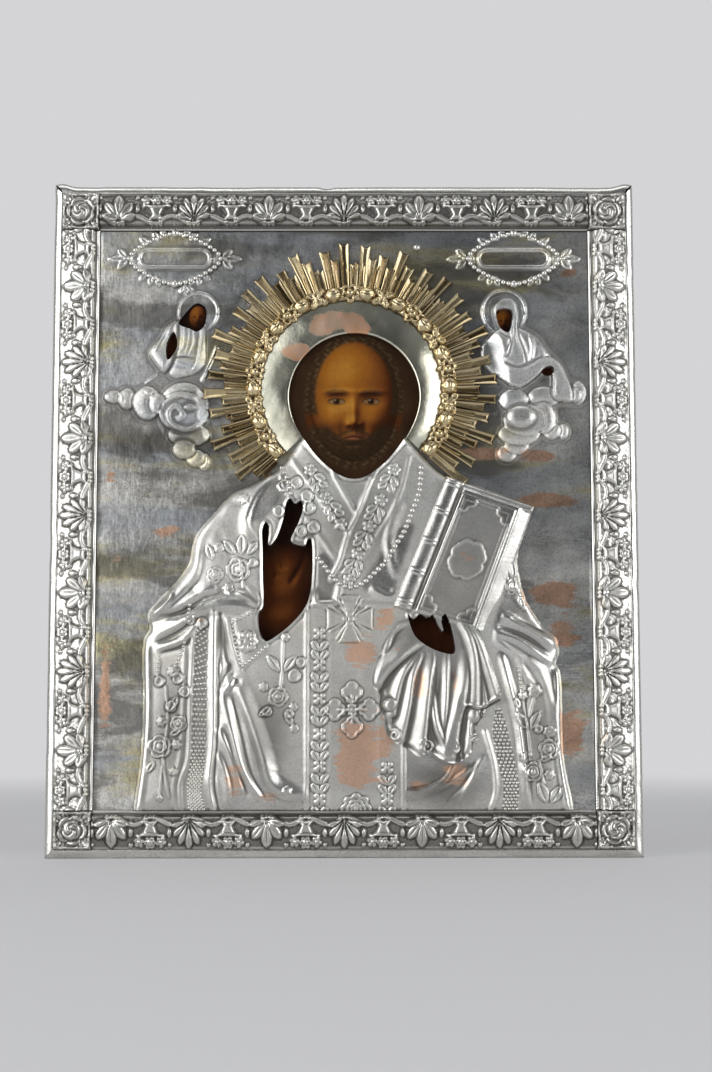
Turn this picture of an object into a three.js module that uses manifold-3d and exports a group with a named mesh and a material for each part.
// Oklad icon cover: a raised silver cover nailed over a painted icon panel, with a gilt rayed halo.
// Millimetres, +Z up. X runs across the icon, its front faces -Y and it stands on its lower edge.
import * as THREE from "three";
import { mergeVertices } from "three/addons/utils/BufferGeometryUtils.js";
import Module from "manifold-3d";

const wasm = await Module();
wasm.setup();

// Driving dimensions
const coverWidth = 270; // over the side walls
const coverHeight = 310;
const sheet = 0.9; // wall of the silver cover
const seatGap = 0.3; // left between two pieces that rest on each other
const rimWidth = 4; // plain band round the front
const stripWidth = 17.5; // ornamented border strips and corner squares
const weld = 1e-4; // points closer than this are one
const overrun = 2; // how far a cutter passes the face that it opens
const layoutWideShares = 228; // the places on the field are drawn on a sheet this many shares wide
const layoutHighShares = 266; // and this many high, counted up from the field's lower edge

// The wooden panel
const boardThickness = 28;
const plankCount = 3;
const glueLine = 0.1;
const gessoThickness = 1.2;
const paintThickness = 0.4;
const splineMouth = 26; // width of a back batten where it leaves the board
const splineSpread = 3; // how much wider each side of it is at the bottom of its groove
const splineDepth = 8;
const splineProud = 3;
const splineHeightShares = [0.22, 0.78]; // of the board's height

// Heights of the raised work above the flat ground of the field
const bodyRise = 6;
const bookRise = 8.2;
const bookPocket = 0.8;
const draperyRise = 8.4;
const foldRise = 1.1;
const figureRise = 3.6;
const cloudRise = 3.4;
const plaqueRise = 2;
const rosetteRise = 1.3;
const raisedWall = 1.4; // metal left over a hollow behind raised work

// The gilt halo
const faceHalfWidthShare = 30.15; // half width of the face opening
const haloPlateWidth = 11.2; // from the face opening to the garland
const garlandWidth = 8.6;
const garlandRise = 2.4;
const haloThickness = 1;
const rayReach = 20; // longest ray beyond the garland
const rayWidth = 3.1;
const rayRise = 1.9;
const haloCentreShares = [3.5, 191.5];
const haloFrom = THREE.MathUtils.degToRad(-41);
const haloTo = THREE.MathUtils.degToRad(224);

// Nails and hanging ring
const nailShank = 1.4;
const nailHead = 3.2;
const nailHeadRise = 0.9;
const nailLength = 12;
const fieldNailGap = 2.1; // from the longest ray to the head of the nail above it
const holeClearance = 0.3;
const ringWire = 2.2;
const ringRadius = 11; // to the middle of its wire
const ringStandoff = 2; // middle of its wire from the board
const ringDrop = 22; // its axis below the top of the cover
const stapleWire = 1.8;
const stapleHalfSpan = 3.2; // from the ring's axis to the middle of a leg
const stapleRoom = 0.5; // play between the ring and the staple's bridge
const stapleDepth = 14;

// Levels across the panel: the board's face is at zero and the front is negative
const gessoFront = -gessoThickness;
const paintFront = gessoFront - paintThickness;
const sheetBack = paintFront - seatGap;
const ground = sheetBack - sheet;
const boardBack = boardThickness;

// The field inside the border
const margin = rimWidth + stripWidth;
const fieldWidth = coverWidth - 2 * margin;
const fieldHeight = coverHeight - 2 * margin;
const boardWidth = coverWidth - 2 * (sheet + seatGap);
const boardHeight = coverHeight - 2 * (sheet + seatGap);
const unitX = fieldWidth / layoutWideShares;
const unitZ = fieldHeight / layoutHighShares;
const placed = ([x, z]) => new THREE.Vector2(x * unitX, margin + z * unitZ);

// The halo follows the face opening
const faceHalfWidth = faceHalfWidthShare * unitX;
const plateInnerShare = 0.8; // the plate starts inside the opening, which then cuts it
const plateInnerRadius = faceHalfWidth * plateInnerShare;
const garlandRadius = faceHalfWidth + haloPlateWidth + garlandWidth / 2;
const garlandInner = garlandRadius - garlandWidth / 2;
const garlandOuter = garlandRadius + garlandWidth / 2;

// Materials
const silver = new THREE.MeshStandardMaterial({ color: 0xb9b8b4, roughness: 0.32, metalness: 1 });
const gilt = new THREE.MeshStandardMaterial({ color: 0xd0b06a, roughness: 0.28, metalness: 1 });
const oldWood = new THREE.MeshStandardMaterial({ color: 0x6b4a2e, roughness: 0.8, metalness: 0 });
const chalk = new THREE.MeshStandardMaterial({ color: 0xd9cdb4, roughness: 0.9, metalness: 0 });
const varnish = new THREE.MeshStandardMaterial({ color: 0x4a2612, roughness: 0.4, metalness: 0 });
const iron = new THREE.MeshStandardMaterial({ color: 0x3a3632, roughness: 0.6, metalness: 1 });

// A closed mesh as a solid with its faces pointing out.
function solid(geometry) {
  const bare = geometry.index ? geometry.toNonIndexed() : geometry.clone();
  for (const name of Object.keys(bare.attributes)) {
    if (name !== "position") bare.deleteAttribute(name);
  }
  const merged = mergeVertices(bare, weld);
  const positions = merged.attributes.position.array;
  const corners = merged.index.array;
  const faces = [];
  let volume = 0;
  const [a, b, c] = [new THREE.Vector3(), new THREE.Vector3(), new THREE.Vector3()];
  for (let i = 0; i < corners.length; i += 3) {
    const [p, q, r] = corners.subarray(i, i + 3);
    if (p === q || q === r || r === p) continue;
    faces.push(p, q, r);
    a.fromArray(positions, 3 * p);
    b.fromArray(positions, 3 * q);
    c.fromArray(positions, 3 * r);
    volume += a.dot(b.cross(c));
  }
  if (volume < 0) faces.reverse();
  const mesh = new wasm.Mesh({
    numProp: 3,
    vertProperties: positions,
    triVerts: new Uint32Array(faces),
  });
  return new wasm.Manifold(mesh);
}

// The surface of a solid, ready for a mesh.
function surface(made) {
  const { vertProperties, triVerts } = made.getMesh();
  const geometry = new THREE.BufferGeometry();
  geometry.setAttribute("position", new THREE.BufferAttribute(new Float32Array(vertProperties), 3));
  geometry.setIndex(new THREE.BufferAttribute(new Uint32Array(triVerts), 1));
  geometry.computeVertexNormals();
  return geometry;
}

const join = (first, ...others) => others.reduce((made, g) => made.add(solid(g)), solid(first));
const cut = (made, ...cutters) => cutters.reduce((left, g) => left.subtract(solid(g)), made);

// A mesh from points and faces, where each face is a loop of three or four point numbers.
function faceted(points, faces) {
  const geometry = new THREE.BufferGeometry();
  const flat = points.flatMap((p) => [p.x, p.y, p.z]);
  geometry.setAttribute("position", new THREE.Float32BufferAttribute(flat, 3));
  geometry.setIndex(faces.flatMap(([a, b, c, d]) => (d === undefined ? [a, b, c] : [a, b, c, a, c, d])));
  return geometry;
}

// A flat outline in X and Z, thick between two levels of Y.
function slab(outline, back, front) {
  const geometry = new THREE.ExtrudeGeometry(new THREE.Shape(outline), {
    depth: back - front,
    bevelEnabled: false,
  });
  return geometry.rotateX(Math.PI / 2).translate(0, back, 0);
}

// A bar along X whose section is given by loops of points at its two ends.
function barBetween(section, startOf, endOf) {
  const count = section.length;
  const points = [...section.map(startOf), ...section.map(endOf)];
  const caps = THREE.ShapeUtils.triangulateShape(section.map(([u, v]) => new THREE.Vector2(u, v)), []);
  const sides = section.map((_, i) => [i, (i + 1) % count, count + ((i + 1) % count), count + i]);
  const clockwise = THREE.ShapeUtils.isClockWise(section.map(([u, v]) => new THREE.Vector2(u, v)));
  const start = caps.map(([p, q, r]) => (clockwise ? [p, q, r] : [r, q, p]));
  const end = start.map(([p, q, r]) => [count + r, count + q, count + p]);
  return faceted(points, [...start, ...end, ...sides]);
}

// A grid of front points closed by the same grid laid flat at the back.
function backedGrid(rows, columns, frontPoint, back) {
  const points = [];
  for (let i = 0; i <= rows; i++) {
    for (let j = 0; j <= columns; j++) points.push(frontPoint(i / rows, j / columns));
  }
  const count = points.length;
  for (const p of points.slice()) points.push(new THREE.Vector3(p.x, back, p.z));
  const number = (i, j) => i * (columns + 1) + j;
  const faces = [];
  for (let i = 0; i < rows; i++) {
    for (let j = 0; j < columns; j++) {
      const loop = [number(i, j), number(i, j + 1), number(i + 1, j + 1), number(i + 1, j)];
      faces.push(loop, loop.map((n) => n + count).toReversed());
    }
    faces.push([number(i + 1, 0), number(i + 1, 0) + count, number(i, 0) + count, number(i, 0)]);
    const right = [number(i, columns), number(i + 1, columns)];
    faces.push([right[0], right[0] + count, right[1] + count, right[1]]);
  }
  for (let j = 0; j < columns; j++) {
    faces.push([number(0, j), number(0, j) + count, number(0, j + 1) + count, number(0, j + 1)]);
    const top = [number(rows, j + 1), number(rows, j)];
    faces.push([top[0], top[0] + count, top[1] + count, top[1]]);
  }
  return faceted(points, faces);
}

// A low dome over an outline that its own middle sees all of.
function dome(outline, rise, base, rings = 2) {
  const count = outline.length;
  const middle = outline.reduce((sum, p) => sum.add(p), new THREE.Vector2()).divideScalar(count);
  const points = [];
  for (let k = 0; k < rings; k++) {
    const turn = (k / rings) * (Math.PI / 2);
    for (const p of outline) {
      const q = middle.clone().lerp(p, Math.cos(turn));
      points.push(new THREE.Vector3(q.x, base - rise * Math.sin(turn), q.y));
    }
  }
  const top = points.push(new THREE.Vector3(middle.x, base - rise, middle.y)) - 1;
  const bottom = points.push(new THREE.Vector3(middle.x, base, middle.y)) - 1;
  const faces = [];
  for (let i = 0; i < count; i++) {
    const next = (i + 1) % count;
    for (let k = 0; k + 1 < rings; k++) {
      faces.push([k * count + i, k * count + next, (k + 1) * count + next, (k + 1) * count + i]);
    }
    const last = (rings - 1) * count;
    faces.push([last + i, last + next, top], [next, i, bottom]);
  }
  return faceted(points, faces);
}

// An ellipse as an outline.
function oval(centre, halfWide, halfHigh, sides, lean = 0) {
  const points = [];
  for (let i = 0; i < sides; i++) {
    const turn = (2 * Math.PI * i) / sides;
    const p = new THREE.Vector2(halfWide * Math.cos(turn), halfHigh * Math.sin(turn));
    points.push(p.rotateAround(new THREE.Vector2(), lean).add(centre));
  }
  return points;
}

// A section in radius and level, swept round a centre from one angle to another.
function sweptRound(section, centre, from, to, steps) {
  const count = section.length;
  const points = [];
  for (let k = 0; k <= steps; k++) {
    const turn = from + ((to - from) * k) / steps;
    for (const [r, y] of section) {
      points.push(new THREE.Vector3(centre.x + r * Math.cos(turn), y, centre.y + r * Math.sin(turn)));
    }
  }
  const caps = THREE.ShapeUtils.triangulateShape(section.map(([r, y]) => new THREE.Vector2(r, y)), []);
  const clockwise = THREE.ShapeUtils.isClockWise(section.map(([r, y]) => new THREE.Vector2(r, y)));
  const start = caps.map(([p, q, r]) => (clockwise ? [r, q, p] : [p, q, r]));
  const faces = [...start, ...start.map(([p, q, r]) => [r, q, p].map((n) => n + steps * count))];
  for (let k = 0; k < steps; k++) {
    for (let i = 0; i < count; i++) {
      const next = (i + 1) % count;
      const loop = [k * count + i, (k + 1) * count + i, (k + 1) * count + next, k * count + next];
      faces.push(loop);
    }
  }
  return faceted(points, faces);
}

// Straight-line reading of a table whose rows start with their place.
function readTable(rows, place) {
  const last = rows.length - 1;
  if (place <= rows[0][0]) return rows[0].slice(1);
  if (place >= rows[last][0]) return rows[last].slice(1);
  const i = rows.findIndex((row) => row[0] > place);
  const share = (place - rows[i - 1][0]) / (rows[i][0] - rows[i - 1][0]);
  return rows[i].slice(1).map((v, k) => THREE.MathUtils.lerp(rows[i - 1][k + 1], v, share));
}

const icon = new THREE.Group();

function addPiece(name, geometry, material, parent = icon) {
  const mesh = new THREE.Mesh(geometry, material);
  mesh.name = name;
  parent.add(mesh);
  return mesh;
}

// Nails, each by the point under its head and the way that its shank goes
const up = coverHeight / 2;
const haloCentre = placed(haloCentreShares);
const haloNailTurns = [196, 132, 54, -12].map((degrees) => THREE.MathUtils.degToRad(degrees));
const garlandTop = ground - seatGap - haloThickness - garlandRise;
const rimBandLevel = ground - sheet - 1.1 * sheet;
const sideNailLevel = boardThickness / 2;
const sideNailShares = [0.12, 0.38, 0.64, 0.88];
const topNailShares = [0.14, 0.5, 0.86];
const fieldNailTurn = THREE.MathUtils.degToRad(65.7);
const fieldNailReach = garlandOuter + seatGap + rayReach + fieldNailGap + nailHead / 2;

const nails = [
  ...haloNailTurns.map((turn, i) => ({
    name: `halo_nail_${i + 1}`,
    head: new THREE.Vector3(
      haloCentre.x + garlandRadius * Math.cos(turn),
      garlandTop - seatGap,
      haloCentre.y + garlandRadius * Math.sin(turn),
    ),
    way: new THREE.Vector3(0, 1, 0),
    length: nailLength + garlandRise,
    material: gilt,
  })),
  {
    name: "field_nail",
    head: new THREE.Vector3(
      haloCentre.x + fieldNailReach * Math.cos(fieldNailTurn),
      ground - seatGap,
      haloCentre.y + fieldNailReach * Math.sin(fieldNailTurn),
    ),
    way: new THREE.Vector3(0, 1, 0),
    length: nailLength,
    material: silver,
  },
  ...sideNailShares.flatMap((share, i) =>
    [-1, 1].map((side) => ({
      name: `${side < 0 ? "left" : "right"}_edge_nail_${i + 1}`,
      head: new THREE.Vector3(side * (coverWidth / 2 + seatGap), sideNailLevel, share * coverHeight),
      way: new THREE.Vector3(-side, 0, 0),
      length: nailLength,
      material: silver,
    })),
  ),
  ...topNailShares.map((share, i) => ({
    name: `top_edge_nail_${i + 1}`,
    head: new THREE.Vector3((share - 1 / 2) * coverWidth, sideNailLevel, coverHeight + seatGap),
    way: new THREE.Vector3(0, 0, -1),
    length: nailLength,
    material: silver,
  })),
];

const acrossY = new THREE.Vector3(0, 1, 0);

function along(nail, geometry) {
  geometry.applyQuaternion(new THREE.Quaternion().setFromUnitVectors(acrossY, nail.way));
  return geometry.translate(nail.head.x, nail.head.y, nail.head.z);
}

function nailHole(nail) {
  const reach = nail.length + seatGap + holeClearance;
  const hole = new THREE.CylinderGeometry(
    nailShank / 2 + holeClearance,
    nailShank / 2 + holeClearance,
    reach + overrun,
    6,
  );
  return along(nail, hole.translate(0, (reach - overrun) / 2, 0));
}

const frontNails = nails.filter((nail) => nail.way.y > 0);
const edgeNails = nails.filter((nail) => nail.way.y === 0);

for (const nail of nails) {
  const profile = [
    [0, -nailHeadRise],
    [nailHead * 0.36, -nailHeadRise * 0.7],
    [nailHead / 2, 0],
    [nailShank / 2, 0],
    [nailShank / 2, nail.length - nailShank],
    [0, nail.length],
  ];
  const body = new THREE.LatheGeometry(profile.map(([r, y]) => new THREE.Vector2(r, y)), 6);
  addPiece(nail.name, surface(solid(along(nail, body))), nail.material);
}

// The wooden panel: three planks with two dovetailed battens let into their backs
const splineZ = splineHeightShares.map((share) => sheet + seatGap + share * boardHeight);
const boardBottom = sheet + seatGap;

function backWithGrooves() {
  const points = [
    [0, boardBottom],
    [boardBack, boardBottom],
  ];
  for (const z of splineZ) {
    const mouth = splineMouth / 2;
    const floor = mouth + splineSpread;
    points.push([boardBack, z - mouth], [boardBack - splineDepth, z - floor]);
    points.push([boardBack - splineDepth, z + floor], [boardBack, z + mouth]);
  }
  points.push([boardBack, boardBottom + boardHeight], [0, boardBottom + boardHeight]);
  return points;
}

const ringZ = coverHeight - ringDrop;
const ringY = boardBack + ringStandoff;
const bridgeY = ringY + ringWire / 2 + stapleRoom + stapleWire / 2;

function stapleLegHole(side) {
  const reach = stapleDepth + holeClearance;
  const radius = stapleWire / 2 + holeClearance;
  const hole = new THREE.CylinderGeometry(radius, radius, reach + overrun, 6);
  return hole.translate(0, boardBack - (reach - overrun) / 2, ringZ + side * stapleHalfSpan);
}

const plankWidth = (boardWidth - (plankCount - 1) * glueLine) / plankCount;
["plank_left", "plank_centre", "plank_right"].forEach((name, k) => {
  const from = -boardWidth / 2 + k * (plankWidth + glueLine);
  const plank = barBetween(
    backWithGrooves(),
    ([y, z]) => new THREE.Vector3(from, y, z),
    ([y, z]) => new THREE.Vector3(from + plankWidth, y, z),
  );
  const holes = nails.map(nailHole);
  if (k === 1) holes.push(stapleLegHole(-1), stapleLegHole(1));
  addPiece(name, surface(cut(solid(plank), ...holes)), oldWood);
});

["spline_lower", "spline_upper"].forEach((name, k) => {
  const mouth = splineMouth / 2 - seatGap;
  const floor = splineMouth / 2 + splineSpread - seatGap;
  const inner = boardBack - splineDepth + seatGap;
  const section = [
    [inner, splineZ[k] - floor],
    [boardBack, splineZ[k] - mouth],
    [boardBack + splineProud, splineZ[k] - mouth],
    [boardBack + splineProud, splineZ[k] + mouth],
    [boardBack, splineZ[k] + mouth],
    [inner, splineZ[k] + floor],
  ];
  const half = boardWidth / 2 - seatGap;
  const bar = barBetween(
    section,
    ([y, z]) => new THREE.Vector3(-half, y, z),
    ([y, z]) => new THREE.Vector3(half, y, z),
  );
  addPiece(name, surface(solid(bar)), oldWood);
});

function wholePanel(back, front) {
  const [left, low] = [-boardWidth / 2, boardBottom];
  const outline = [
    [left, low],
    [-left, low],
    [-left, low + boardHeight],
    [left, low + boardHeight],
  ].map(([x, z]) => new THREE.Vector2(x, z));
  return surface(cut(solid(slab(outline, back, front)), ...frontNails.map(nailHole)));
}
addPiece("gesso_ground", wholePanel(0, gessoFront), chalk);
addPiece("painted_panel", wholePanel(gessoFront, paintFront), varnish);

// Openings through which the painting shows, in shares of the field
const openingShares = {
  blessingHand: [
    [-37.4, 118], [-37.6, 127], [-36, 129.6], [-34.3, 127], [-34.6, 119], [-30, 123.5], [-27.6, 131],
    [-26.6, 139], [-24.8, 140.5], [-22.5, 137.5], [-20, 139.3], [-18.6, 135.5], [-21, 129], [-24.6, 120.5],
    [-17.6, 118.6], [-16.8, 121.6], [-14.8, 121], [-14.5, 110], [-15.2, 99], [-18, 90.5], [-25, 82.5],
    [-33, 76.5], [-36, 75.8], [-38.6, 80], [-38.4, 88], [-36.5, 92],
  ],
  bookHand: [
    [28.8, 87.5], [31.5, 85.4], [34.6, 88], [37.5, 86], [40.5, 88], [42.5, 83], [45, 79.8], [44, 86],
    [46.6, 87.8], [48.8, 81], [50.4, 71], [47, 69.8], [39, 72.5], [32, 78],
  ],
  leftFace: [
    [-71.5, 219.5], [-68.3, 218.2], [-65, 221], [-64.2, 229], [-68, 232], [-72, 229.5], [-77, 222.3],
  ],
  leftHand: [[-82, 205], [-79.5, 207], [-77.4, 212.5], [-79, 218], [-82.3, 212]],
  rightFace: [[70.9, 228], [71.8, 221], [75, 218], [77.2, 219], [78, 228]],
  rightHand: [[91.8, 199.8], [94, 198], [97.2, 199], [96.6, 201.8], [93.6, 201.6]],
};
const openingCutter = (outline) => slab(outline, sheetBack + overrun, ground - 4 * bookRise);

// The face opening, in shares of its half width round the halo's centre
const faceOpeningShares = [
  [-0.97, -0.15], [-0.93, 0.15], [-0.78, 0.45], [-0.48, 0.71], [-0.02, 0.86], [0.41, 0.75],
  [0.75, 0.51], [0.96, 0.18], [1.03, -0.15], [0.98, -0.41], [0.83, -0.71], [0.71, -0.95],
  [0.48, -1.19], [0.22, -1.34], [-0.05, -1.39], [-0.32, -1.31], [-0.55, -1.13], [-0.68, -0.96],
  [-0.75, -0.75], [-0.9, -0.48],
];
const faceOpening = faceOpeningShares.map(([x, z]) =>
  new THREE.Vector2(x, z).multiplyScalar(faceHalfWidth).add(haloCentre),
);

// The saint's half figure: its left and right edges by height, and its folds
const bodyEdgeShares = [
  [0.6, -95, 104], [8, -93.5, 102.5], [20, -92, 100.5], [45, -92, 99], [62, -92.4, 98.4], [72, -92, 97.6],
  [80, -89.6, 94.6], [88, -89.8, 89], [92, -87, 86], [98, -81, 82.6], [105, -74.4, 80.6], [112, -69.6, 79.6],
  [125, -66, 80], [135, -59, 78], [143, -51, 64], [149, -40, 50], [154, -34.4, 44.6], [160, -28, 38.4],
  [166, -22, 32],
];
const foldLineShares = [
  [[-86, 91], [-72, 94], [-56, 99], [-42, 94]],
  [[-88, 80], [-74, 84], [-60, 92]],
  [[-58, 88], [-61, 60], [-60, 30], [-57, 4]],
  [[-70, 80], [-71, 50], [-70, 24], [-75, 6]],
  [[-48, 62], [-42, 38], [-33, 12], [-22, 6]],
  [[-70, 128], [-62, 112], [-68, 98]],
  [[72, 70], [78, 44], [81, 18], [82, 6]],
  [[70, 84], [84, 78], [95, 68]],
  [[60, 26], [66, 12], [67, 3]],
  [[-17.6, 90], [-17.6, 4]],
  [[26.4, 28], [26.4, 4]],
];
const foldHalfWidth = 3.6;
const bodyRowCount = 34;
const bodyColumnCount = 32;
const bodyEdgeShare = 0.12; // height at the figure's edge
const neckShare = 148; // the place on the layout's height above which the chest falls away

function nearness(point, line) {
  let nearest = Infinity;
  const spot = new THREE.Vector2();
  for (let i = 0; i + 1 < line.length; i++) {
    const [a, b] = [line[i], line[i + 1]];
    const step = b.clone().sub(a);
    const share = THREE.MathUtils.clamp(spot.copy(point).sub(a).dot(step) / step.lengthSq(), 0, 1);
    nearest = Math.min(nearest, point.distanceTo(step.multiplyScalar(share).add(a)));
  }
  return nearest;
}

const foldLines = foldLineShares.map((line) => line.map(placed));

function bodyHeight(across, highShares) {
  const side = Math.abs(2 * across - 1);
  const crown = bodyEdgeShare + (1 - bodyEdgeShare) * Math.pow(1 - Math.pow(side, 2.6), 0.6);
  const neck = THREE.MathUtils.smoothstep(highShares, neckShare, layoutHighShares * 0.63);
  const foot = THREE.MathUtils.smoothstep(highShares, 0, layoutHighShares * 0.16);
  return bodyRise * crown * (1 - 0.55 * neck) * (0.62 + 0.38 * foot);
}

function bodyPoint(up01, across) {
  const lowest = bodyEdgeShares[0][0];
  const highest = bodyEdgeShares[bodyEdgeShares.length - 1][0];
  const high = THREE.MathUtils.lerp(lowest, highest, up01);
  const [left, right] = readTable(bodyEdgeShares, high);
  const spot = placed([THREE.MathUtils.lerp(left, right, across), high]);
  return { spot, high };
}

function figureBody() {
  return backedGrid(
    bodyRowCount,
    bodyColumnCount,
    (up01, across) => {
      const { spot, high } = bodyPoint(up01, across);
      const edge = 1 - Math.pow(Math.abs(2 * across - 1), 6);
      const folds = foldLines.reduce((sum, line) => {
        const near = nearness(spot, line) / foldHalfWidth;
        return sum + (near < 1 ? foldRise * Math.cos((near * Math.PI) / 2) ** 2 : 0);
      }, 0);
      return new THREE.Vector3(spot.x, ground - bodyHeight(across, high) - folds * edge, spot.y);
    },
    ground + sheet / 2,
  );
}

// The hollow behind the figure, open towards the board.
function figureHollow() {
  const rows = 12;
  const columns = 10;
  return backedGrid(
    rows,
    columns,
    (up01, across) => {
      const inset = THREE.MathUtils.lerp(0.05, 0.95, across);
      const { spot, high } = bodyPoint(THREE.MathUtils.lerp(0.03, 0.8, up01), inset);
      const room = bodyHeight(inset, high) * 0.86 - raisedWall;
      return new THREE.Vector3(spot.x, Math.min(ground - room, sheetBack + seatGap / 2), spot.y);
    },
    sheetBack + overrun,
  );
}

// The book: a block with a rounded spine, a sunk panel and a boss
const bookCornerShares = [[46.8, 151], [87.4, 137], [65.8, 78], [21.8, 91]];
const bookPanelShares = [[53.5, 142.5], [80, 133.3], [60.5, 84.5], [33, 92.5]];
const bookBossShares = [55.5, 112];
const bookBossHalfShares = [7, 8.6];
const spineHalfWidth = 3;

function book() {
  const corners = bookCornerShares.map(placed);
  const middle = corners.reduce((sum, p) => sum.add(p), new THREE.Vector2()).divideScalar(corners.length);
  const front = ground - bookRise;
  const [topLeft, , , lowLeft] = corners;
  const spineLength = topLeft.distanceTo(lowLeft);
  const lean = Math.atan2(topLeft.y - lowLeft.y, topLeft.x - lowLeft.x);
  const spineMiddle = topLeft.clone().add(lowLeft).divideScalar(2);
  const inward = middle.clone().sub(spineMiddle).setLength(spineHalfWidth);
  const spine = oval(new THREE.Vector2(), spineLength / 2, spineHalfWidth, 12);
  const spineFoot = spineMiddle.clone().add(inward);
  const spineOutline = spine.map((p) => p.rotateAround(new THREE.Vector2(), lean).add(spineFoot));
  const block = cut(
    join(slab(corners, ground + sheet / 2, front), dome(spineOutline, sheet, front + sheet / 4)),
    slab(bookPanelShares.map(placed), front + bookPocket, front - overrun),
  );
  const [bossWide, bossHigh] = bookBossHalfShares;
  const bossOutline = oval(placed(bookBossShares), bossWide * unitX, bossHigh * unitX, 8);
  const boss = dome(bossOutline, bookPocket, front + bookPocket * 1.2);
  return block.add(solid(boss));
}

function bookHollow() {
  const corners = bookCornerShares.map(placed);
  const middle = corners.reduce((sum, p) => sum.add(p), new THREE.Vector2()).divideScalar(corners.length);
  const inner = corners.map((p) => p.clone().lerp(middle, 0.22));
  return slab(inner, sheetBack + overrun, ground - bookRise + bookPocket + raisedWall);
}

// The cloth that falls in flutes from the hand under the book
const clothEdgeShares = [
  [20.5, 48, 50], [26, 28, 58], [30, 24, 61], [36, 20.5, 63], [44, 16.5, 66], [50, 14.6, 70], [56, 12.8, 68.4],
  [62, 15, 66], [70, 20, 63], [76, 24, 61], [81, 29, 58], [85, 34, 54],
];
const clothFluteCount = 7;

function cloth() {
  const [lowest, highest] = [clothEdgeShares[0][0], clothEdgeShares.at(-1)[0]];
  return backedGrid(
    10,
    4 * clothFluteCount,
    (up01, across) => {
      const high = THREE.MathUtils.lerp(lowest, highest, up01);
      const [left, right] = readTable(clothEdgeShares, high);
      const spot = placed([THREE.MathUtils.lerp(left, right, across), high]);
      const side = Math.abs(2 * across - 1);
      const crown = 0.55 + 0.45 * Math.sqrt(1 - side ** 3);
      const flute = foldRise * (0.4 + 0.6 * (1 - up01)) * Math.cos(2 * Math.PI * clothFluteCount * across);
      const edge = 1 - side ** 6;
      const rise = draperyRise * crown * (0.9 - 0.1 * up01) + flute * edge;
      return new THREE.Vector3(spot.x, ground - rise, spot.y);
    },
    ground + sheet / 2,
  );
}

const clothHollowShares = [41, 56];
const clothHollowHalfShares = [17, 20];

function clothHollow() {
  const [wide, high] = clothHollowHalfShares;
  const outline = oval(placed(clothHollowShares), wide * unitX, high * unitZ, 10);
  return slab(outline, sheetBack + overrun, ground - draperyRise * 0.5 + raisedWall);
}

// Clouds under the two small half figures, as [x, z, half width, half height, lean in degrees]
const cloudShares = [
  [-107, 186.5, 6, 4, 0], [-98, 185.5, 7, 5.5, -8], [-89.5, 183.5, 7.5, 8, 0], [-73.5, 180.5, 12, 12.5, 0],
  [-77, 164.5, 6, 5.5, 0], [-71, 158.5, 5.5, 4.5, -20], [-65, 156.5, 4, 4.5, 0],
  [80, 176.5, 10.5, 7.5, -8], [79, 186.5, 10, 7, 0], [77, 164, 7, 8, 20], [91.5, 177, 8, 9, 0],
  [99, 170.5, 5, 4.5, 0], [107.4, 189, 4.4, 6, 0], [97, 186, 8, 6, 0],
];

const smallFigureShares = {
  left: [[-77, 222.5], [-60, 219], [-64, 197], [-74, 196], [-84, 198], [-90.5, 206.5], [-85, 218]],
  right: [[69, 222], [80, 226], [91, 214], [97, 203], [92, 192], [80, 189], [69, 197], [64, 206]],
};
const scarfShares = [
  [65.5, 207.5], [72, 203.5], [80, 200], [88, 203.5], [95, 205.5], [100.5, 200.5], [104.5, 186],
  [97.5, 186.5], [94, 199.5], [86, 193.5], [79, 191], [70, 197], [66, 203],
];
const smallHaloShares = [[-68, 228, 9.6], [75, 228.5, 10.5]];

// Name plaques in beaded ovals, left bare
const cartoucheShares = [[-79.6, 253.6], [79.4, 253.6]];
const cartoucheHalfWide = 20.5;
const cartoucheHalfHigh = 10.5;
const cartoucheBeadCount = 20;
const beadRadius = 1.25;

function cartouche(shares) {
  const middle = placed(shares);
  const foot = ground + sheet / 2;
  const plate = dome(oval(middle, cartoucheHalfWide, cartoucheHalfHigh, 20), plaqueRise * 0.6, foot);
  const plaque = dome(oval(middle, cartoucheHalfWide * 0.78, cartoucheHalfHigh * 0.4, 12), plaqueRise, foot);
  const beads = [];
  for (let i = 0; i < cartoucheBeadCount; i++) {
    const turn = (2 * Math.PI * i) / cartoucheBeadCount;
    const spot = new THREE.Vector2(cartoucheHalfWide * Math.cos(turn), cartoucheHalfHigh * Math.sin(turn));
    beads.push(dome(oval(spot.add(middle), beadRadius, beadRadius, 5), beadRadius, foot, 1));
  }
  return join(plate, plaque, ...beads);
}

// Flower heads worked on the robe, as [x, z, radius]
const flowerShares = [
  [-48, 109, 5.2], [-57, 106, 4], [-52, 99, 2.6], [-47, 120, 3.2], [-84, 28, 5], [-78, 40, 4], [-79, 62, 3.6],
  [-76, 20, 2.6], [-30, 50, 6], [-24, 60, 3.4], [-46, 76, 4.4], [92, 28, 5], [86, 18, 4.6], [84, 50, 3], [94, 10, 3.6],
  [2.6, 87, 5], [5, 46, 5.4], [-11, 66, 3], [-11, 50, 3], [-11, 34, 3], [-11, 20, 3], [-11, 6, 3], [19, 18, 3],
  [19, 5, 3],
];

function flower([x, z, radius]) {
  const spot = placed([x, z]);
  const [up01, across] = [
    (z - bodyEdgeShares[0][0]) / (bodyEdgeShares.at(-1)[0] - bodyEdgeShares[0][0]),
    readTable(bodyEdgeShares, z),
  ];
  const share = (x - across[0]) / (across[1] - across[0]);
  const { high } = bodyPoint(up01, share);
  const level = ground - bodyHeight(share, high);
  return dome(oval(spot, radius * unitX, radius * unitX, 6), rosetteRise + foldRise, level + foldRise / 2, 1);
}

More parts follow.
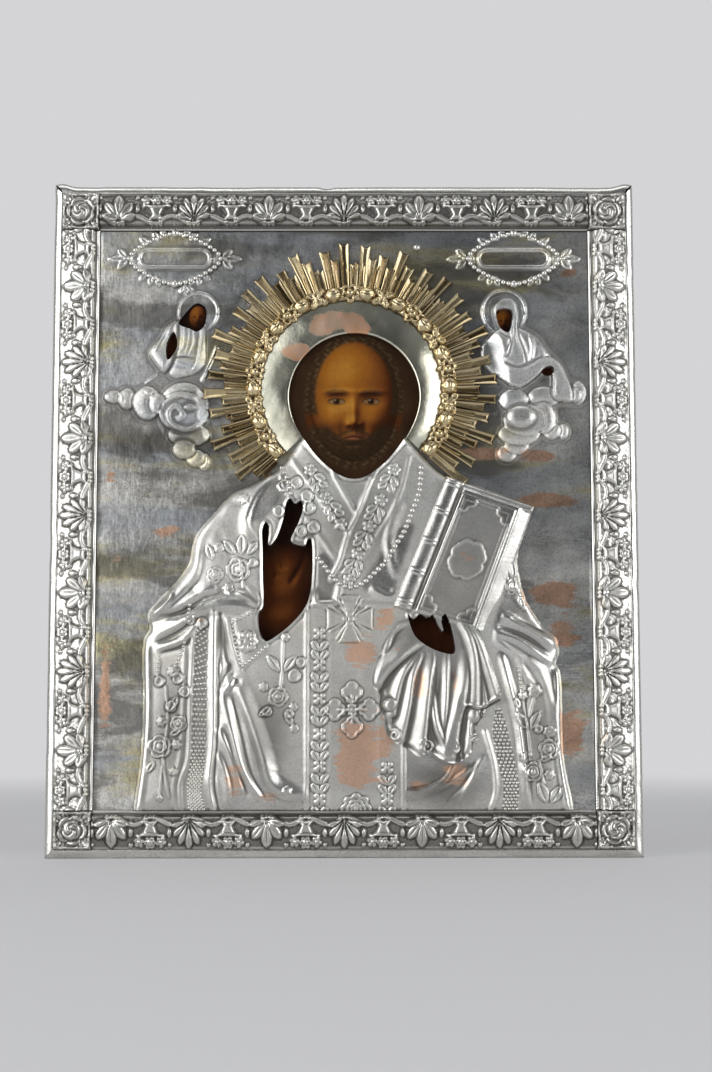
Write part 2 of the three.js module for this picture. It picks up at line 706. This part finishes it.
// The raised work is flat under the halo, so that the halo lies close on it.
function haloSeat() {
  const reach = garlandRadius + garlandWidth / 2 + rayReach + seatGap * 3;
  const floor = ground - seatGap / 2;
  const section = [
    [plateInnerRadius - seatGap, floor],
    [reach, floor],
    [reach, floor - 3 * bodyRise],
    [plateInnerRadius - seatGap, floor - 3 * bodyRise],
  ];
  const slack = rayWidth / garlandRadius;
  return sweptRound(section, haloCentre, haloFrom - slack, haloTo + slack, 48);
}

function coverField() {
  const gap = seatGap / 2;
  const outline = [
    [-1, -1],
    [1, -1],
    [1, 1],
    [-1, 1],
  ].map(([sx, sz]) => new THREE.Vector2(sx * (fieldWidth / 2 - gap), up + sz * (fieldHeight / 2 - gap)));
  const clouds = cloudShares.map(([x, z, a, b, lean]) => {
    const turn = THREE.MathUtils.degToRad(lean);
    return dome(oval(placed([x, z]), a * unitX, b * unitZ, 10, turn), cloudRise, ground + sheet / 2);
  });
  const halos = smallHaloShares.map(([x, z, r]) =>
    slab(oval(placed([x, z]), r * unitX, r * unitX, 18), ground + sheet / 2, ground - sheet),
  );
  const figures = Object.values(smallFigureShares).map((shares) =>
    dome(shares.map(placed), figureRise, ground + sheet / 2),
  );
  const scarf = slab(scarfShares.map(placed), ground + sheet / 2, ground - figureRise);
  const hollowed = cut(
    join(slab(outline, sheetBack, ground), figureBody(), ...flowerShares.map(flower)),
    figureHollow(),
  );
  const withBook = cut(hollowed.add(book()), bookHollow()).add(solid(cloth()));
  const dressed = [...halos, ...figures, scarf, ...clouds].reduce(
    (made, piece) => made.add(solid(piece)),
    cut(withBook, clothHollow()),
  );
  const marked = cartoucheShares.reduce((made, shares) => made.add(cartouche(shares)), dressed);
  const openings = [faceOpening, ...Object.values(openingShares).map((shares) => shares.map(placed))];
  const cutters = [...openings.map(openingCutter), ...frontNails.map(nailHole)];
  return surface(cut(marked, haloSeat(), ...cutters));
}
addPiece("cover_field", coverField(), silver);

// The halo: a smooth inner plate, a wreath of flowers and a ring of cut rays
const haloBack = ground - seatGap;
const haloStepCount = 44;

function haloPlate() {
  const outer = garlandInner - seatGap;
  const crown = haloThickness * 1.6;
  const section = [
    [plateInnerRadius, haloBack],
    [outer, haloBack],
    [outer, haloBack - haloThickness],
    [(outer + plateInnerRadius) / 2, haloBack - haloThickness - crown],
    [plateInnerRadius, haloBack - haloThickness],
  ];
  const ring = sweptRound(section, haloCentre, haloFrom, haloTo, haloStepCount);
  return surface(cut(solid(ring), openingCutter(faceOpening)));
}

const garlandFlowerCount = 27;

function haloGarland() {
  const section = [
    [garlandInner, haloBack],
    [garlandOuter, haloBack],
    [garlandOuter, haloBack - haloThickness],
    [garlandRadius + garlandWidth / 4, haloBack - haloThickness - garlandRise * 0.4],
    [garlandRadius - garlandWidth / 4, haloBack - haloThickness - garlandRise * 0.4],
    [garlandInner, haloBack - haloThickness],
  ];
  const band = sweptRound(section, haloCentre, haloFrom, haloTo, haloStepCount);
  const heads = [];
  for (let i = 0; i < garlandFlowerCount; i++) {
    const turn = haloFrom + ((haloTo - haloFrom) * (i + 0.5)) / garlandFlowerCount;
    const spot = new THREE.Vector2(Math.cos(turn), Math.sin(turn)).multiplyScalar(garlandRadius).add(haloCentre);
    const radius = garlandWidth * (i % 2 ? 0.3 : 0.42);
    heads.push(dome(oval(spot, radius, radius, 7, turn), garlandRise * 0.85, haloBack - haloThickness, 2));
  }
  return surface(cut(join(band, ...heads), ...frontNails.map(nailHole)));
}

const rayCount = 66;
const rayLengthShares = [1, 0.62, 0.84, 0.55, 0.92, 0.7, 0.5, 0.96, 0.66, 0.8, 0.58]; // of the longest ray

function haloRays() {
  const inner = garlandOuter + seatGap;
  const band = sweptRound(
    [
      [inner, haloBack],
      [inner + rayReach * 0.3, haloBack],
      [inner + rayReach * 0.3, haloBack - haloThickness],
      [inner, haloBack - haloThickness],
    ],
    haloCentre,
    haloFrom,
    haloTo,
    haloStepCount,
  );
  const rays = [];
  for (let i = 0; i < rayCount; i++) {
    const turn = haloFrom + ((haloTo - haloFrom) * (i + 0.5)) / rayCount;
    const length = rayReach * rayLengthShares[i % rayLengthShares.length];
    const [half, tip] = [rayWidth * 0.32, rayWidth / 2];
    const start = [[-half, haloBack], [half, haloBack], [0, haloBack - rayRise]];
    const ray = barBetween(
      start,
      ([across, y]) => new THREE.Vector3(inner + rayReach * 0.02, y, across),
      ([across, y]) => new THREE.Vector3(inner + length, y, (across / half) * tip),
    );
    rays.push(ray.rotateY(-turn).translate(haloCentre.x, 0, haloCentre.y));
  }
  return surface(join(band, ...rays));
}

addPiece("halo_plate", haloPlate(), gilt);
addPiece("halo_garland", haloGarland(), gilt);
addPiece("halo_rays", haloRays(), gilt);

// The border, made side by side round the middle of the cover. Each side is drawn as the lower one.
const sides = [
  { name: "bottom", turn: 0, length: coverWidth, half: coverHeight / 2 },
  { name: "left", turn: Math.PI / 2, length: coverHeight, half: coverWidth / 2 },
  { name: "top", turn: Math.PI, length: coverWidth, half: coverHeight / 2 },
  { name: "right", turn: -Math.PI / 2, length: coverHeight, half: coverWidth / 2 },
];
const crownRise = 4.2; // highest line of a border strip above the ground
const outerRise = 1.6; // its outer edge above the ground
const beadRise = 1.4; // milled bead along its inner edge
const beadWidth = 1.6;
const crownShare = 0.62; // where the crown lies, from the outer edge

// Section of a strip, as distance from the cover's outer edge and level.
const stripTop = [
  [rimWidth + seatGap, ground - outerRise],
  [rimWidth + stripWidth * 0.3, ground - outerRise - (crownRise - outerRise) * 0.66],
  [rimWidth + stripWidth * crownShare, ground - crownRise],
  [rimWidth + stripWidth * 0.82, ground - crownRise * 0.82],
  [margin - beadWidth, ground - beadRise * 0.5],
  [margin - beadWidth * 0.8, ground - beadRise],
  [margin - beadWidth * 0.2, ground - beadRise],
];
const stripLevel = (inward) => readTable(stripTop, inward)[0];

function stripSection() {
  const [first, last] = [stripTop[0], stripTop.at(-1)];
  const inside = stripTop
    .slice(1, -2)
    .toReversed()
    .map(([inward, level]) => [inward, Math.min(level + sheet, sheetBack - seatGap / 2)]);
  return [
    [first[0], sheetBack],
    ...stripTop,
    [last[0], sheetBack],
    [last[0] - sheet, sheetBack],
    ...inside,
    [first[0] + sheet, sheetBack],
  ];
}

const motifPitch = 17; // about, before they are spread evenly over a side
const petalLengthShare = 0.58; // of the strip's width
const petalWidthShare = 0.17;
const fanTurns = [-52, 0, 52].map((degrees) => THREE.MathUtils.degToRad(degrees));

// A pointed leaf that springs from a foot near the bead and points to the outer edge.
function petal(foot, turn, length, width) {
  const outline = [
    [0, 0],
    [width / 2, -0.5 * length],
    [width / 2, -0.8 * length],
    [0, -length],
    [-width / 2, -0.8 * length],
    [-width / 2, -0.5 * length],
  ];
  return outline.map(([x, z]) => new THREE.Vector2(x, z).rotateAround(new THREE.Vector2(), turn).add(foot));
}

function stripMotifs(run, half) {
  const pieces = [];
  const each = Math.floor(run / 2 / motifPitch - 1 / 2);
  const spacing = run / (2 * each + 1);
  for (let i = -each; i <= each; i++) {
    const x = i * spacing;
    const foot = new THREE.Vector2(x, -half + margin - beadWidth * 2);
    const level = stripLevel(rimWidth + stripWidth * 0.45) + sheet / 2;
    if (i % 2 === 0) {
      for (const turn of fanTurns) {
        const shape = petal(foot, turn, stripWidth * petalLengthShare, stripWidth * petalWidthShare);
        pieces.push(dome(shape, rosetteRise + sheet / 2, level, 1));
      }
    } else {
      const bowl = new THREE.Vector2(x, -half + rimWidth + stripWidth * 0.36);
      pieces.push(dome(oval(bowl, stripWidth * 0.27, stripWidth * 0.18, 6), rosetteRise + sheet / 2, level, 1));
    }
  }
  return pieces;
}

// Section of the rim: a hollowed band with an edge bead, and the wall that covers the board's edge.
function rimSection() {
  const inner = rimWidth;
  const front = ground - outerRise;
  return [
    [0, boardBack],
    [0, front + sheet * 0.6],
    [sheet * 0.3, front],
    [sheet * 1.1, front],
    [sheet * 1.6, front + sheet * 0.5],
    [inner - sheet * 0.9, front + sheet * 0.25],
    [inner - sheet * 0.3, front - sheet * 0.3],
    [inner, front],
    [inner, sheetBack],
    [inner - sheet, sheetBack],
    [inner - sheet, front + sheet * 1.4],
    [sheet, front + sheet * 1.6],
    [sheet, boardBack],
  ];
}

const mitreGap = 0.15;

for (const { name, turn, length, half } of sides) {
  const group = new THREE.Group();
  group.position.z = coverHeight / 2;
  group.rotation.y = turn;
  icon.add(group);
  const rim = barBetween(
    rimSection(),
    ([inward, y]) => new THREE.Vector3(-(length / 2 - inward - mitreGap), y, -half + inward),
    ([inward, y]) => new THREE.Vector3(length / 2 - inward - mitreGap, y, -half + inward),
  );
  const local = new THREE.Matrix4().makeRotationY(-turn).multiply(
    new THREE.Matrix4().makeTranslation(0, 0, -coverHeight / 2),
  );
  const holes = edgeNails.map((nail) => nailHole(nail).applyMatrix4(local));
  addPiece(`rim_${name}`, surface(cut(solid(rim), ...holes)), silver, group);
  const run = length - 2 * margin - 2 * seatGap;
  const strip = barBetween(
    stripSection(),
    ([inward, y]) => new THREE.Vector3(-run / 2, y, -half + inward),
    ([inward, y]) => new THREE.Vector3(run / 2, y, -half + inward),
  );
  addPiece(`border_${name}`, surface(join(strip, ...stripMotifs(run, half))), silver, group);
}

// Corner squares with a rose, hollow behind
const cornerRise = 4.6;
const roseShare = 0.36; // of the square's width
const rosePetalCount = 4;

function cornerSquare() {
  const half = stripWidth / 2 - seatGap;
  const square = (size) => [[-1, -1], [1, -1], [1, 1], [-1, 1]].map(([x, z]) => new THREE.Vector2(x * size, z * size));
  const front = ground - cornerRise;
  const pieces = [slab(square(half), sheetBack, front)];
  for (let i = 0; i < rosePetalCount; i++) {
    const turn = (2 * Math.PI * i) / rosePetalCount;
    const spot = new THREE.Vector2(0, stripWidth * 0.24).rotateAround(new THREE.Vector2(), turn);
    pieces.push(dome(oval(spot, stripWidth * 0.2, stripWidth * 0.16, 8, turn), rosetteRise, front + sheet / 2, 1));
  }
  const heart = oval(new THREE.Vector2(), stripWidth * roseShare * 0.62, stripWidth * roseShare * 0.62, 10);
  pieces.push(dome(heart, rosetteRise + sheet * 1.5, front + sheet / 2));
  const hollow = slab(square(half - sheet), sheetBack + overrun, front + sheet);
  const frame = slab(square(half - sheet), front + sheet / 3, front - overrun);
  const plate = cut(solid(pieces[0]), hollow, frame);
  return surface(pieces.slice(1).reduce((made, piece) => made.add(solid(piece)), plate));
}

for (const [vertical, sz] of [["bottom", -1], ["top", 1]]) {
  for (const [horizontal, sx] of [["left", -1], ["right", 1]]) {
    const square = addPiece(`corner_${vertical}_${horizontal}`, cornerSquare(), silver);
    const reach = rimWidth + stripWidth / 2;
    square.position.set(sx * (coverWidth / 2 - reach), 0, up + sz * (coverHeight / 2 - reach));
  }
}

// The hanging ring in its staple, at the top of the back
const staplePath = new THREE.CurvePath();
const [lowLeg, highLeg] = [ringZ - stapleHalfSpan, ringZ + stapleHalfSpan];
const bend = stapleWire;
const stapleStops = [
  [boardBack - stapleDepth, lowLeg],
  [bridgeY - bend, lowLeg],
  [bridgeY, lowLeg + bend],
  [bridgeY, highLeg - bend],
  [bridgeY - bend, highLeg],
  [boardBack - stapleDepth, highLeg],
].map(([y, z]) => new THREE.Vector3(0, y, z));
staplePath.add(new THREE.LineCurve3(stapleStops[0], stapleStops[1]));
const lowBend = new THREE.Vector3(0, bridgeY, lowLeg);
const highBend = new THREE.Vector3(0, bridgeY, highLeg);
staplePath.add(new THREE.QuadraticBezierCurve3(stapleStops[1], lowBend, stapleStops[2]));
staplePath.add(new THREE.LineCurve3(stapleStops[2], stapleStops[3]));
staplePath.add(new THREE.QuadraticBezierCurve3(stapleStops[3], highBend, stapleStops[4]));
staplePath.add(new THREE.LineCurve3(stapleStops[4], stapleStops[5]));
const wire = new THREE.Shape(oval(new THREE.Vector2(), stapleWire / 2, stapleWire / 2, 6));
const staple = new THREE.ExtrudeGeometry(wire, { steps: 24, bevelEnabled: false, extrudePath: staplePath });
addPiece("ring_staple", surface(solid(staple)), iron);

const ring = new THREE.TorusGeometry(ringRadius, ringWire / 2, 8, 28).rotateX(Math.PI / 2);
addPiece("hanging_ring", ring.translate(0, ringY, ringZ - ringRadius), iron);

// The origin is under the middle of the whole piece, on the level that it stands on.
const bounds = new THREE.Box3().setFromObject(icon);
icon.position.y = -(bounds.min.y + bounds.max.y) / 2;

export default icon;
